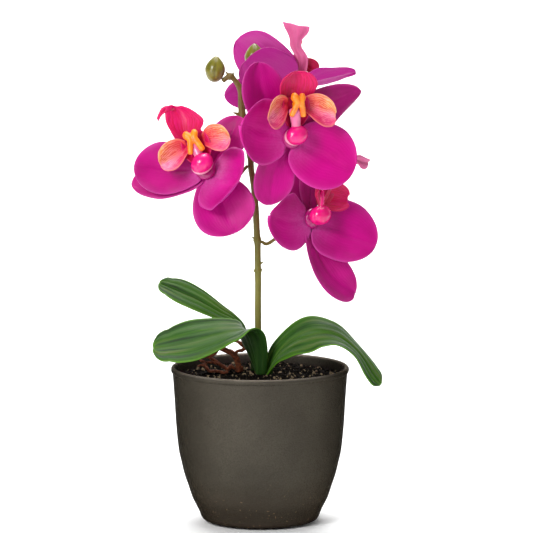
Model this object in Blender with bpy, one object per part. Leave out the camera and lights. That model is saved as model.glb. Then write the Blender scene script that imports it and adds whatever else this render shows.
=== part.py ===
"""Potted moth orchid: a cover pot, compost, three strap leaves, aerial roots,
one flower spike with two buds and four open flowers.

Frame: origin at the centre of the pot's flat foot, +Z up, the side the flowers face is -Y.
Lengths in the tables are millimetres; MM turns them into metres as the meshes are built.
"""
import math

import bpy
import numpy as np

for old in list(bpy.data.objects):
    bpy.data.objects.remove(old, do_unlink=True)

MM = 0.001

# ---- driving dimensions (mm) --------------------------------------------------------------
POT_RIM_DIAMETER = 110.0      # over the rolled rim
POT_HEIGHT = 95.3             # foot to rim crest
POT_FOOT_DIAMETER = 69.0      # flat underside
POT_WALL = 2.7
POT_FLOOR = 4.0
COMPOST_DROP = 5.6            # rim crest down to the edge of the compost
COMPOST_MOUND = 0.9           # how far the middle of the compost stands above its edge
SPIKE_RISE = 177.0            # compost to the fork of the flower spike
SPIKE_DIAMETER = 3.6
FLOWER_SPAN = 90.0            # across an open flower
TEPAL_THICKNESS = 0.9
LIP_THICKNESS = 1.0
LEAF_REACH = 74.0             # pot axis to the tip of the longest leaf
LEAF_THICKNESS = 1.5
ROOT_DIAMETER = 2.4
BUD_LENGTH = 16.0
BUD_DIAMETER = 12.4
BUD_SEAT = 1.44                # how far the end of the stem sits into the round foot of the bud
FIT_GAP = 0.35                # air left between pieces that bear on each other

COMPOST_TOP = POT_HEIGHT - COMPOST_DROP + COMPOST_MOUND
RISE = SPIKE_RISE / 177.0
BLOOM = FLOWER_SPAN / 90.0
LEAF = LEAF_REACH / 74.0

# ---- finishes -----------------------------------------------------------------------------
FINISHES = {
    "pot_plastic": ((0.075, 0.068, 0.058), 0.42),
    "compost": ((0.030, 0.022, 0.016), 0.95),
    "leaf_green": ((0.055, 0.165, 0.030), 0.38),
    "root_brown": ((0.270, 0.085, 0.030), 0.70),
    "spike_green": ((0.190, 0.180, 0.035), 0.50),
    "bud_green": ((0.240, 0.270, 0.035), 0.35),
    "tepal_magenta": ((0.560, 0.010, 0.260), 0.55),
    "lip_crimson": ((0.680, 0.040, 0.130), 0.50),
    "callus_orange": ((0.900, 0.300, 0.010), 0.40),
    "column_pink": ((0.780, 0.010, 0.190), 0.30),
}


def finish(name):
    """The Principled BSDF material of a finish, made the first time it is asked for."""
    mat = bpy.data.materials.get(name)
    if mat is None:
        colour, roughness = FINISHES[name]
        mat = bpy.data.materials.new(name)
        mat.use_nodes = True
        bsdf = mat.node_tree.nodes["Principled BSDF"]
        bsdf.inputs["Base Color"].default_value = (*colour, 1.0)
        bsdf.inputs["Roughness"].default_value = roughness
        bsdf.inputs["Metallic"].default_value = 0.0
        mat.diffuse_color = (*colour, 1.0)
    return mat


# ---- vectors ------------------------------------------------------------------------------
def vec(*xyz):
    return np.array(xyz, float)


def unit(a):
    return a / np.linalg.norm(a)


def turned(side, face, angle):
    """Turn a side / face pair about the line they are both square to."""
    c, s = math.cos(math.radians(angle)), math.sin(math.radians(angle))
    return side * c + face * s, face * c - side * s


# ---- meshes -------------------------------------------------------------------------------
def signed_volume(points, faces):
    total = 0.0
    for face in faces:
        a = points[face[0]]
        for i in range(1, len(face) - 1):
            total += np.dot(a, np.cross(points[face[i]], points[face[i + 1]]))
    return total / 6.0


def piece(name, points, faces, look, parent, smooth=True):
    """Make one node from points in millimetres, its origin in the middle of the piece."""
    points = np.array(points, float) * MM
    if signed_volume(points - points.mean(axis=0), faces) < 0:
        faces = [tuple(reversed(face)) for face in faces]
    centre = (points.min(axis=0) + points.max(axis=0)) / 2
    mesh = bpy.data.meshes.new(name)
    mesh.from_pydata([tuple(p) for p in points - centre], [], faces)
    mesh.materials.append(finish(look))
    for poly in mesh.polygons:
        poly.use_smooth = smooth
    node = bpy.data.objects.new(name, mesh)
    bpy.context.scene.collection.objects.link(node)
    node.parent = parent
    node.location = tuple(centre)
    return node


def ring_faces(rings, sides):
    """Side faces between successive rings plus a fan or flat cap at each end."""
    faces = []
    for i in range(rings - 1):
        for j in range(sides):
            k = (j + 1) % sides
            faces.append((i * sides + j, i * sides + k, (i + 1) * sides + k, (i + 1) * sides + j))
    faces.append(tuple(reversed(range(sides))))
    last = (rings - 1) * sides
    faces.append(tuple(range(last, last + sides)))
    return faces


def lathe(profile, sides):
    """Turn a closed-over (radius, height) profile about Z; radius 0 ends become poles."""
    points, rows = [], []
    for radius, height in profile:
        if radius < 1e-6:
            rows.append([len(points)] * sides)
            points.append((0.0, 0.0, height))
            continue
        rows.append(list(range(len(points), len(points) + sides)))
        for j in range(sides):
            a = 2 * math.pi * j / sides
            points.append((radius * math.cos(a), radius * math.sin(a), height))
    faces = []
    for low, high in zip(rows, rows[1:]):
        for j in range(sides):
            k = (j + 1) % sides
            quad = (low[j], low[k], high[k], high[j])
            face = tuple(dict.fromkeys(quad))
            if len(face) >= 3:
                faces.append(face)
    return points, faces


def smooth_path(stations, steps):
    """Catmull-Rom curve through table rows; every column is carried along."""
    rows = np.array(stations, float)
    rows = np.vstack([2 * rows[0] - rows[1], rows, 2 * rows[-1] - rows[-2]])
    out = []
    for i in range(1, len(rows) - 2):
        a, b, c, d = rows[i - 1:i + 3]
        for k in range(steps):
            t = k / steps
            out.append(0.5 * (2 * b + (c - a) * t + (2 * a - 5 * b + 4 * c - d) * t * t
                              + (3 * b - a - 3 * c + d) * t ** 3))
    out.append(rows[-2])
    return np.array(out)


def tube(stations, steps, sides):
    """Round rod through (x, y, z, radius) stations."""
    path = smooth_path(stations, steps)
    centres, radii = path[:, :3], np.maximum(path[:, 3], 0.15)
    tangents = np.gradient(centres, axis=0)
    side = unit(np.cross(tangents[0], vec(0.31, 0.93, 0.11)))
    points = []
    for centre, radius, tangent in zip(centres, radii, tangents):
        tangent = unit(tangent)
        side = unit(side - tangent * np.dot(side, tangent))
        other = np.cross(tangent, side)
        for j in range(sides):
            a = 2 * math.pi * j / sides
            points.append(centre + radius * (side * math.cos(a) + other * math.sin(a)))
    return points, ring_faces(len(centres), sides)


def shell(grid, thickness, rim):
    """Close a sheet of points into a thin body, thinner at its margin than in its middle."""
    rows, cols = grid.shape[:2]
    du = np.gradient(grid, axis=0)
    dv = np.gradient(grid, axis=1)
    normals = np.cross(dv, du)
    normals /= np.maximum(np.linalg.norm(normals, axis=2, keepdims=True), 1e-9)
    across = 1 - np.abs(np.linspace(-1, 1, cols)) ** 3
    along = 1 - np.linspace(0, 1, rows) ** 6
    half = (rim + (thickness - rim) * np.outer(along, across))[..., None] / 2
    front, back = grid + normals * half, grid - normals * half
    points = list(front.reshape(-1, 3)) + list(back.reshape(-1, 3))
    faces = []
    size = rows * cols

    def at(i, j, layer=0):
        return layer * size + i * cols + j

    for i in range(rows - 1):
        for j in range(cols - 1):
            faces.append((at(i, j), at(i + 1, j), at(i + 1, j + 1), at(i, j + 1)))
            faces.append((at(i, j, 1), at(i, j + 1, 1), at(i + 1, j + 1, 1), at(i + 1, j, 1)))
    edge = ([(i, 0) for i in range(rows)] + [(rows - 1, j) for j in range(1, cols)]
            + [(i, cols - 1) for i in range(rows - 2, -1, -1)] + [(0, j) for j in range(cols - 2, 0, -1)])
    for (i, j), (k, l) in zip(edge, edge[1:] + edge[:1]):
        faces.append((at(i, j), at(i, j, 1), at(k, l, 1), at(k, l)))
    return points, faces


# ---- petals, sepals and lip lobes ---------------------------------------------------------
def outline(u, belly, base, blunt):
    """Half-width of a tepal as a share of its greatest, from its foot (0) to its tip (1)."""
    if u <= belly:
        return base + (1 - base) * math.sin(u / belly * math.pi / 2) ** 1.15
    return max(0.012, 1 - ((u - belly) / (1 - belly)) ** blunt) ** 0.5


def blade(foot, tip, facing, width, belly=0.58, base=0.17, blunt=2.0, cup=20.0, twist=0.0,
          bow=0.0, sway=0.0, rows=8, cols=6):
    """A cupped blade from foot to tip. It bows toward the side it faces and sways sideways."""
    along = tip - foot
    face = unit(facing - unit(along) * np.dot(facing, unit(along)))
    side = np.cross(unit(along), face)
    grid = np.zeros((rows, cols, 3))
    for i in range(rows):
        q = i / (rows - 1)
        u = 0.5 * q + 0.5 * math.sin(q * math.pi / 2)
        arch, slope = 4 * u * (1 - u), 4 - 8 * u
        centre = foot + along * u + (face * bow + side * sway) * arch
        tangent = unit(along + (face * bow + side * sway) * slope)
        up = unit(face - tangent * np.dot(face, tangent))
        across, up = turned(np.cross(tangent, up), up, twist)
        half = width / 2 * outline(u, belly, base, blunt)
        bend = math.radians(cup) * min(1.0, 0.35 + 1.2 * u)
        for j in range(cols):
            v = -1 + 2 * j / (cols - 1)
            grid[i, j] = (centre + across * half * math.sin(bend * v) / bend
                          + up * half * (1 - math.cos(bend * v)) / bend)
    return grid


def among_flowers(x, y, z):
    """A point of the flower group: it moves out with the flowers' span and up with the spike."""
    return vec(x * BLOOM, y * BLOOM, COMPOST_TOP + z * RISE + (z - GROUP_MIDDLE) * (BLOOM - 1))


class Flower:
    """Where a flower sits and which way it faces; its lip points to twelve o'clock."""

    def __init__(self, centre, yaw, pitch, roll):
        self.centre = among_flowers(*centre)
        yaw, pitch, roll = (math.radians(a) for a in (yaw, pitch, roll))
        self.facing = vec(math.sin(yaw) * math.cos(pitch), -math.cos(yaw) * math.cos(pitch),
                          math.sin(pitch))
        level = vec(math.cos(yaw), math.sin(yaw), 0)
        rise = np.cross(self.facing, level)
        self.up = rise * math.cos(roll) + level * math.sin(roll)
        self.right = level * math.cos(roll) - rise * math.sin(roll)

    def at(self, right, up, forward):
        """A point given across, up and forward of the middle of the flower."""
        return self.centre + (self.right * right + self.up * up + self.facing * forward) * BLOOM

    def tepal(self, reach, width, layer, **shape):
        """A petal (front layer) or sepal (back layer) whose tip is `reach` from the middle."""
        reach = vec(*reach) * BLOOM
        flat = unit(reach - self.facing * np.dot(reach, self.facing))
        foot = self.centre + flat * 2.6 * BLOOM + self.facing * layer
        tip = self.centre + reach + self.facing * layer
        return blade(foot, tip, self.facing, width * BLOOM, **shape)


REAR_LAYER, SEPAL_LAYER, PETAL_LAYER = -1.4, 0.0, 1.7
GROUP_MIDDLE = 137.0           # height over the compost of the middle of the four flowers

FLOWERS = {
    "front": dict(
        place=((18.2, -32.0, 148.9), 25, 5, 0),
        stalk=((-7.4, -1.6, 154.0, 1.0), (2.0, -7.0, 147.0, 1.1), (12.0, -20.0, 147.0, 1.2)),
        hood=((0, 19, 6), (0.5, 40, 12), 25.0, dict(belly=0.55, base=0.45, blunt=2.6, cup=35)),
        tepals={
            "petal_right": ((38.5, 4, -23), 39, PETAL_LAYER, dict(base=0.35, blunt=2.2, cup=18, bow=-2)),
            "petal_left": ((-33, -26, 8), 42, PETAL_LAYER, dict(base=0.28, blunt=2.4, cup=25, bow=-3.5)),
            "sepal_left": ((-18, -3, 46), 28, SEPAL_LAYER, dict(cup=25, sway=-7)),
            "sepal_right": ((41.4, 16, 29.3), 24, SEPAL_LAYER, dict(blunt=1.5, cup=12, sway=-5)),
            "sepal_bottom": ((-11.4, -3, -39.7), 29, SEPAL_LAYER, dict(blunt=2.4, cup=22, sway=4)),
        }),
    "left": dict(
        place=((-32.2, -24.0, 128.0), -15, 25, -24),
        stalk=((-7.9, -1.8, 129.0, 1.0), (-17.0, -6.0, 120.0, 1.1), (-27.5, -16.0, 121.5, 1.2)),
        hood=((0, 19, 6), (0, 39, 12), 24.0, dict(belly=0.6, base=0.45, blunt=2.6, cup=35)),
        tepals={
            "petal_left": ((-44, 6, 2.4), 34, PETAL_LAYER, dict(base=0.35, cup=20, bow=-2)),
            "petal_right": ((18, -20, -10), 46, PETAL_LAYER, dict(base=0.33, blunt=2.4, cup=18, bow=-5)),
            "sepal_right": ((21, 8, 32.5), 25, SEPAL_LAYER, dict(blunt=1.7, cup=20)),
            "sepal_left": ((-46, 10, -8.6), 21, SEPAL_LAYER, dict(blunt=1.6, cup=20, sway=-2)),
            "sepal_bottom": ((17, -10, -37), 37, SEPAL_LAYER, dict(base=0.2, blunt=2.4, cup=22)),
        }),
    "lower": dict(
        place=((30.0, -8.0, 97.2), 48, 5, 10),
        stalk=((1.1, 0.2, 82.0, 1.0), (5.0, 0.4, 81.0, 1.1), (13.5, 1.0, 87.2, 1.1), (22.0, 1.0, 94.5, 1.2)),
        hood=((1, 24, 7), (24, 41, 17), 14.0, dict(belly=0.75, base=0.45, blunt=3.0, cup=20)),
        tepals={
            "petal_right": ((39.5, 8, -19), 34, PETAL_LAYER, dict(base=0.35, cup=18, bow=-2, sway=-3)),
            "petal_left": ((-24, -20, -6), 33, PETAL_LAYER, dict(base=0.3, blunt=2.2, cup=15, bow=-1)),
            "sepal_bottom": ((26, 10, -48), 24, SEPAL_LAYER, dict(blunt=2.2, cup=20, sway=4)),
            "sepal_left": ((-17, 0, 28), 21, REAR_LAYER, dict(cup=20)),
            "sepal_right": ((3, 7, 34), 17, SEPAL_LAYER, dict(cup=20, twist=30)),
        }),
    "top": dict(
        place=((19.8, 26.0, 175.9), 160, 5, 0),
        lobe_size=0.68,
        stalk=((-9.6, 1.0, 172.6, 1.0), (-3.0, 6.0, 170.0, 1.1), (10.0, 15.0, 171.0, 1.2)),
        hood=((-3, 18, 6.5), (0, 37.5, 8), 15.0, dict(belly=0.85, base=0.5, blunt=5.0, cup=15)),
        tepals={
            "petal_right": ((-35, 14, 29), 30, PETAL_LAYER, dict(base=0.3, blunt=2.3, cup=20)),
            "petal_left": ((37.6, -6, 9), 18, PETAL_LAYER, dict(blunt=1.5, cup=20, sway=1, twist=55)),
            "sepal_right": ((-30, -18, 16), 30, REAR_LAYER, dict(blunt=2.3, cup=20)),
            "sepal_left": ((-41.7, 4, -7), 22, SEPAL_LAYER, dict(blunt=1.7, cup=20)),
            "sepal_bottom": ((4, 6, -36), 26, SEPAL_LAYER, dict(cup=20)),
        }),
}


def ellipsoid(centre, right, up, forward, radii, rings=7, sides=12, point=0.0):
    """A rounded body on three axes; `point` draws its upper end out to a soft tip."""
    points, faces = lathe([(math.sin(math.pi * i / rings), -math.cos(math.pi * i / rings))
                           for i in range(rings + 1)], sides)
    placed = []
    for x, y, z in points:
        pinch = 1 - point * max(0.0, z) ** 2
        placed.append(centre + right * x * radii[0] * pinch + forward * y * radii[2] * pinch
                      + up * z * radii[1])
    return placed, faces


def stalk_stations(name):
    """A flower's stalk: it starts clear of the spike's skin and ends under its flower."""
    stations = []
    for i, (x, y, z, r) in enumerate(FLOWERS[name]["stalk"]):
        heights = [height for _, _, height, _ in SPIKE]
        off_axis = vec(x - np.interp(z, heights, [row[0] for row in SPIKE]), y, 0)
        clear = unit(off_axis) * 1.3 * (SPIKE_DIAMETER / 2 - 1.8) * (1 - i / 2)
        at_spike, at_flower = vec(x, y, COMPOST_TOP + z * RISE), among_flowers(x, y, z)
        stations.append((*(at_spike + (at_flower - at_spike) * i / 2 + clear), r))
    return stations


def make_flower(name, spec, parent):
    flower = Flower(*spec["place"])
    group = bpy.data.objects.new("flower_" + name, None)
    bpy.context.scene.collection.objects.link(group)
    group.parent = parent
    for part, (reach, width, layer, shape) in spec["tepals"].items():
        grid = flower.tepal(reach, width, layer, **shape)
        piece(f"{name}_{part}", *shell(grid, TEPAL_THICKNESS, 0.6), "tepal_magenta", group)

    foot, tip, width, shape = spec["hood"]
    hood = blade(flower.at(*foot), flower.at(*tip), flower.facing, width * BLOOM, **shape)
    piece(f"{name}_lip_hood", *shell(hood, LIP_THICKNESS, 0.7), "lip_crimson", group)
    size = spec.get("lobe_size", 1.0)
    for side, word in ((-1, "left"), (1, "right")):
        ear = blade(flower.at(side * 5, 16.5, 8.5), flower.at(side * (5 + 18 * size), 16.5 - 3.5 * size, 15),
                    flower.facing, 20 * size * BLOOM, base=0.4, belly=0.6, blunt=2.8, cup=30, bow=-2,
                    rows=6, cols=5)
        piece(f"{name}_lip_lobe_{word}", *shell(ear, LIP_THICKNESS, 0.7), "lip_crimson", group)
    claw = [(*flower.at(0, 9.4, 9), 2.0), (*flower.at(0, 13, 10.5), 2.4), (*flower.at(0, 18, 13.5), 3.4),
            (*flower.at(0, 23, 15), 3.6), (*flower.at(0, 26, 15.3), 2.2)]
    claw = [(x, y, z, r * BLOOM) for x, y, z, r in claw]
    piece(f"{name}_callus", *tube(claw, 2, 8), "callus_orange", group)
    ball = ellipsoid(flower.at(0, 2.2, 9.4), flower.right, flower.up, flower.facing,
                     (7.2 * BLOOM, 6.4 * BLOOM, 6.0 * BLOOM))
    piece(f"{name}_column", *ball, "column_pink", group)

    stalk = stalk_stations(name)
    stalk.append((*(flower.centre - flower.facing * 2.6), 1.4))
    stalk.append((*(flower.centre - flower.facing * 1.1), 1.9))
    piece(f"{name}_stalk", *tube(stalk, 2, 7), "spike_green", group)


# ---- leaves -------------------------------------------------------------------------------
# (x, y, height over the compost, half-width, width direction x, y, z) from foot to tip
LEAVES = {
    "leaf_left": ((-1, -8, 0.6, 4.5, 0.8, -0.6, 0), (-1.6, -9, 10, 6.5, 0.85, -0.5, 0),
                  (-3.6, -10.5, 19, 9.5, 0.8, -0.6, 0), (-8, -12, 28.5, 12, 0.5, -0.87, 0),
                  (-17, -13, 29, 14, 0.15, -0.93, -0.32), (-28, -13, 25.8, 15, 0, -0.8, -0.6),
                  (-42, -12.5, 22, 16, 0, -0.72, -0.7), (-56, -11, 19, 12.5, 0, -0.72, -0.7),
                  (-65.8, -10, 17.6, 1.5, 0, -0.72, -0.7)),
    "leaf_right": ((4.8, -6, 1.5, 4.5, 0.4, -0.92, 0), (8, -8, 8.8, 6.5, 0.3, -0.8, -0.5),
                   (12.6, -10, 15.6, 9.5, 0.2, -0.78, -0.6), (21.5, -14, 23, 13, 0.05, -0.75, -0.65),
                   (30, -16.5, 26.6, 14.5, 0, -0.75, -0.66), (39, -18, 27.8, 14, 0, -0.85, -0.5),
                   (49, -19, 25.2, 13, 0, -0.94, -0.34), (60, -19.5, 16, 10.5, 0, -1, -0.08),
                   (69, -20, 3, 7.5, 0, -1, -0.05), (74, -20, -3.4, 1.5, 0, -1, 0)),
    "leaf_back": ((-4, 9.4, 0.6, 4.5, 0.5, -0.85, 0), (-5, 10, 12, 5, 0.5, -0.85, -0.1),
                  (-9.5, 11.5, 25, 5, 0.3, -0.85, -0.4), (-17, 12.5, 32, 5, 0.1, -0.8, -0.6),
                  (-25, 13, 36, 6.5, 0, -0.76, -0.65), (-38, 13.5, 43.4, 9.5, 0, -0.75, -0.66),
                  (-49, 14, 48.8, 10, 0, -0.75, -0.66), (-57, 14.5, 52.3, 7.5, 0, -0.75, -0.66),
                  (-62.4, 15, 54.6, 1.5, 0, -0.75, -0.66)),
}


def leaf_grid(stations, cols=5, steps=2):
    """Strap leaf: a keeled blade, folded at its foot and opening out along its length."""
    path = smooth_path(stations, steps)
    tangents = np.gradient(path[:, :3], axis=0)
    middle = len(path) // 2
    upper = 1 if np.cross(path[middle, 4:7], tangents[middle])[2] > 0 else -1
    grid = np.zeros((len(path), cols, 3))
    for i, row in enumerate(path):
        u = i / (len(path) - 1)
        tangent = unit(tangents[i])
        side = unit(row[4:7] - tangent * np.dot(row[4:7], tangent))
        face = upper * np.cross(side, tangent)
        fold = math.radians(26 * (1 - u) ** 2 + 8)
        for j in range(cols):
            v = -1 + 2 * j / (cols - 1)
            across, lift = v * math.cos(fold), abs(v) ** 1.4 * math.sin(fold)
            grid[i, j] = row[:3] + row[3] * (side * across + face * lift)
    return grid


def make_leaf(name, stations, parent):
    rows = [(x * LEAF, y * LEAF, COMPOST_TOP + z * (LEAF if z > 1 else 1), half * LEAF, *side)
            for x, y, z, half, *side in stations]
    piece(name, *shell(leaf_grid(rows), LEAF_THICKNESS, 0.8), "leaf_green", parent)


# ---- roots, crown, spike, buds ------------------------------------------------------------
ROOTS = {
    "root_long": ((-10.5, 5.5, 2.0), (-13.5, 6, 1.9), (-17.3, 6, 3.2), (-20.4, 6, 3.4), (-26, 6, 6.5),
                  (-32.5, 6, 10.2)),
    "root_short": ((-21, -2, 1.6), (-26.6, -2, 1.6), (-30.6, -2, 2.4), (-34.2, -2, 4.6), (-37, -2, 8.4)),
    "root_arch": ((-7.5, 2.5, 1.6), (-9, 2.2, 11), (-12.5, 2, 17.6), (-17.3, 2, 19.2), (-23.5, 2, 15.4),
                  (-27.5, 2, 10)),
}

SPIKE = ((-1.3, 2.0, 0.4, 1.0), (-1.3, 1.2, 8, 1.0), (-1.2, 0, 27, 1.0), (-1.2, 0, 60, 1.0),
         (-1.3, 0, 64, 1.25), (-1.3, 0, 67, 1.0), (-1.5, 0, 80, 1.0), (-1.6, 0, 83, 1.25),
         (-1.9, 0, 87, 1.0), (-2.5, 0, 100.6, 1.0), (-3.7, 0, 115.4, 0.95), (-5.5, 0, 127.8, 0.95),
         (-6.1, 0, 135.2, 0.95), (-10.4, 0, 155, 1.3), (-10.9, 0, 160, 1.2), (-11.6, 0, 169.6, 0.9),
         (-12.1, 0, 176.4, 0.95), (-15.9, 0, 182.4, 0.8), (-18.2, 0, 184.0, 1.25), (-20.4, 0, 183.2, 0.8),
         (-22.4, 0, 181.7, 0.75))


def make_crown(parent):
    stub = [(0, 0.35), (3.0, 0.35), (3.4, 1.2), (3.3, 4.5), (2.4, 7.0), (1.2, 8.0), (0, 8.3)]
    points, faces = lathe(stub, 14)
    points = [(x + 4.9, y + 3.4, z + COMPOST_TOP) for x, y, z in points]
    piece("crown", points, faces, "leaf_green", parent)


def make_roots(parent):
    for name, stations in ROOTS.items():
        last = len(stations) - 1
        rod = [(x, y, COMPOST_TOP + z, ROOT_DIAMETER / 2 * (0.55 if i == last else 1.0))
               for i, (x, y, z) in enumerate(stations)]
        piece(name, *tube(rod, 2, 7), "root_brown", parent)


def make_spike(parent):
    rod = [(x, y, COMPOST_TOP + (z if z < 1 else z * RISE), SPIKE_DIAMETER / 2 * share)
           for x, y, z, share in SPIKE]
    piece("flower_spike", *tube(rod, 2, 10), "spike_green", parent)


def beside_top_flower(x, y, z):
    """A point that keeps its place beside the top flower when the flower grows or rises."""
    place = FLOWERS["top"]["place"][0]
    return among_flowers(*place) + (vec(x, y, z) - vec(*place)) * BLOOM


def make_buds(parent):
    level, fore = vec(1, 0, 0), vec(0, 1, 0)
    half = (BUD_DIAMETER / 2, BUD_LENGTH / 2, BUD_DIAMETER / 2)
    # the left bud stands off the end of the spike, the top bud off the end of its own stalk
    x, y, z, _ = SPIKE[-1]
    stand_off = BUD_LENGTH / 2 + SPIKE_DIAMETER / 2 - BUD_SEAT
    centre = vec(x - 0.598 * stand_off, y, COMPOST_TOP + z * RISE + 0.801 * stand_off)
    tilt, across = turned(vec(0, 0, 1), level, 6)
    piece("bud_left", *ellipsoid(centre, across, tilt, fore, half, point=0.3), "bud_green", parent)
    x, y, z, _ = stalk_stations("top")[1]
    rod = [(x + 0.4, y + 1.6, z - 1.6, 0.8), (x + 2.0, y + 7.0, z - 3.4, 0.8)]
    rod += [(*beside_top_flower(x, y, z), r) for x, y, z, r in (
        (1.5, 20.0, 166.8, 0.8), (3.2, 24.8, 171.0, 0.8), (3.0, 25.5, 174.0, 0.8),
        (0.8, 25.4, 177.5, 0.8), (-2.4, 25.0, 181.5, 0.8), (-3.4, 24.5, 185.3, 1.0))]
    piece("bud_top_stalk", *tube(rod, 2, 7), "spike_green", parent)
    centre = vec(rod[-1][0], rod[-1][1] - 0.5, rod[-1][2] + BUD_LENGTH / 2 + 0.7)
    piece("bud_top", *ellipsoid(centre, level, vec(0, 0, 1), fore, half, point=0.3), "bud_green", parent)


# ---- pot and compost ----------------------------------------------------------------------
# outside of the pot: share of the height, share of the way from foot radius to rim radius
POT_SIDE = ((0.0, 0.0), (0.022, 0.10), (0.066, 0.185), (0.145, 0.366), (0.223, 0.488), (0.302, 0.610),
            (0.382, 0.698), (0.461, 0.776), (0.618, 0.849), (0.776, 0.893), (0.868, 0.922), (0.958, 0.952))


def pot_radius(height):
    """Outside radius of the pot body at a height over its foot."""
    foot, rim = POT_FOOT_DIAMETER / 2, POT_RIM_DIAMETER / 2
    heights = [share * POT_HEIGHT for share, _ in POT_SIDE]
    radii = [foot + (rim - foot) * share for _, share in POT_SIDE]
    return float(np.interp(height, heights, radii))


def make_pot(parent):
    rim, top = POT_RIM_DIAMETER / 2, POT_HEIGHT
    profile = [(0, 0)] + [(pot_radius(s * top), s * top) for s, _ in POT_SIDE]
    profile += [(rim - 0.3, top - 3.2), (rim, top - 2.4), (rim, top - 1.2), (rim - 0.4, top - 0.4),
                (rim - 1.2, top), (rim - 2.4, top - 0.4), (rim - 3.1, top - 1.6)]
    for share, _ in POT_SIDE[::-2]:
        height = max(share * top, POT_FLOOR)
        profile.append((pot_radius(height) - POT_WALL, height))
    profile[-1] = (pot_radius(POT_FLOOR) - POT_WALL - 1.5, POT_FLOOR + 0.4)
    profile += [(pot_radius(POT_FLOOR) - POT_WALL - 4, POT_FLOOR), (0, POT_FLOOR)]
    piece("pot", *lathe(profile, 44), "pot_plastic", parent)


def make_compost(parent):
    edge = POT_HEIGHT - COMPOST_DROP
    levels = [share * POT_HEIGHT for share, _ in POT_SIDE[2:] if share * POT_HEIGHT < edge - 2]
    profile = [(0, POT_FLOOR + FIT_GAP + 0.4)]
    for height in levels:
        inside = pot_radius(height) - POT_WALL - FIT_GAP
        lift = POT_FLOOR + FIT_GAP + 0.4 if height == levels[0] else height
        profile.append((inside - (2.5 if height == levels[0] else 0.3), lift))
    inside = pot_radius(edge) - POT_WALL - FIT_GAP
    profile += [(inside - 0.5, edge), (inside * 0.85, edge + COMPOST_MOUND * 0.35),
                (inside * 0.5, edge + COMPOST_MOUND * 0.8), (0, edge + COMPOST_MOUND)]
    piece("compost", *lathe(profile, 32), "compost", parent)


# ---- assembly -----------------------------------------------------------------------------
orchid = bpy.data.objects.new("potted_orchid", None)
bpy.context.scene.collection.objects.link(orchid)
make_pot(orchid)
make_compost(orchid)
make_crown(orchid)
for leaf_name, leaf_rows in LEAVES.items():
    make_leaf(leaf_name, leaf_rows, orchid)
make_roots(orchid)
make_spike(orchid)
make_buds(orchid)
for flower_name, flower_spec in FLOWERS.items():
    make_flower(flower_name, flower_spec, orchid)
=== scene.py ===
"""Looks of the potted moth orchid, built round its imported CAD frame.

Lengths in the tables are millimetres. Each CAD node is replaced by one finer piece. A flower is
placed from the box of its column, the leaves, roots and spike from the compost's top, and the
pot, compost, crown and buds from their own boxes.
"""
import math

import bpy
import bmesh
import numpy as np
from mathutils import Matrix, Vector, noise


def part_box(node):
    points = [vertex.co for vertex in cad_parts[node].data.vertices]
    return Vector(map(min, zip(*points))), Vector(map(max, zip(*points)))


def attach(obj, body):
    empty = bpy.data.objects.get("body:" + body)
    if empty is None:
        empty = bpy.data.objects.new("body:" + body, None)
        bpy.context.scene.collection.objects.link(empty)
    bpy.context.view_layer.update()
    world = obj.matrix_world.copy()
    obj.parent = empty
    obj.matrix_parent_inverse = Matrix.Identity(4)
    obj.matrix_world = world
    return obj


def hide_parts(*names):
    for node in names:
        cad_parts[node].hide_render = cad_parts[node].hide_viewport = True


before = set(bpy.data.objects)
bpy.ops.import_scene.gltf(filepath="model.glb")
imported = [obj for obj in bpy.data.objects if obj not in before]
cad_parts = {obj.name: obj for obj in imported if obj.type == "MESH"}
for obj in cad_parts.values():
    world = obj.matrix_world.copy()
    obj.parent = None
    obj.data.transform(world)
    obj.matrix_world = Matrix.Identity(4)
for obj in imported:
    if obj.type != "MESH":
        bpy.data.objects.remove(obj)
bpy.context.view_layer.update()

MM = 0.001


# ---- vectors and curves ----
def vec(*xyz):
    return np.array(xyz, float)


def unit(a):
    return a / max(np.linalg.norm(a), 1e-12)


def turned(side, face, angle):
    """Turn two square vectors in their own plane by an angle in degrees."""
    c, s = math.cos(math.radians(angle)), math.sin(math.radians(angle))
    return side * c + face * s, face * c - side * s


def box_mm(node):
    low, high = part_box(node)
    return np.array(low) / MM, np.array(high) / MM


GROUND = box_mm("compost")[1][2]


def middle(node):
    low, high = box_mm(node)
    return (low + high) / 2


def wobble(x, y, z, seed):
    """Smooth noise from -1 to 1, the same on every run."""
    return noise.noise(Vector((x + seed * 7.31, y - seed * 3.17, z + seed * 1.93)))


def smooth_path(stations, steps):
    """Catmull-Rom curve through table rows; every column is carried along."""
    rows = np.array(stations, float)
    rows = np.vstack([2 * rows[0] - rows[1], rows, 2 * rows[-1] - rows[-2]])
    out = []
    for i in range(1, len(rows) - 2):
        a, b, c, d = rows[i - 1:i + 3]
        for k in range(steps):
            t = k / steps
            out.append(0.5 * (2 * b + (c - a) * t + (2 * a - 5 * b + 4 * c - d) * t * t
                              + (3 * b - a - 3 * c + d) * t ** 3))
    out.append(rows[-2])
    return np.array(out)


# ---- pieces ----
def linked(name, data):
    obj = bpy.data.objects.new(name, data)
    bpy.context.scene.collection.objects.link(obj)
    return obj


def hand_over(node, mesh, look):
    """Put a finished mesh in the scene as the piece that replaces a CAD node."""
    mesh.materials.clear()
    mesh.materials.append(look)
    obj = linked(node + "_fine", mesh)
    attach(obj, "root")
    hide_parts(node)


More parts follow.
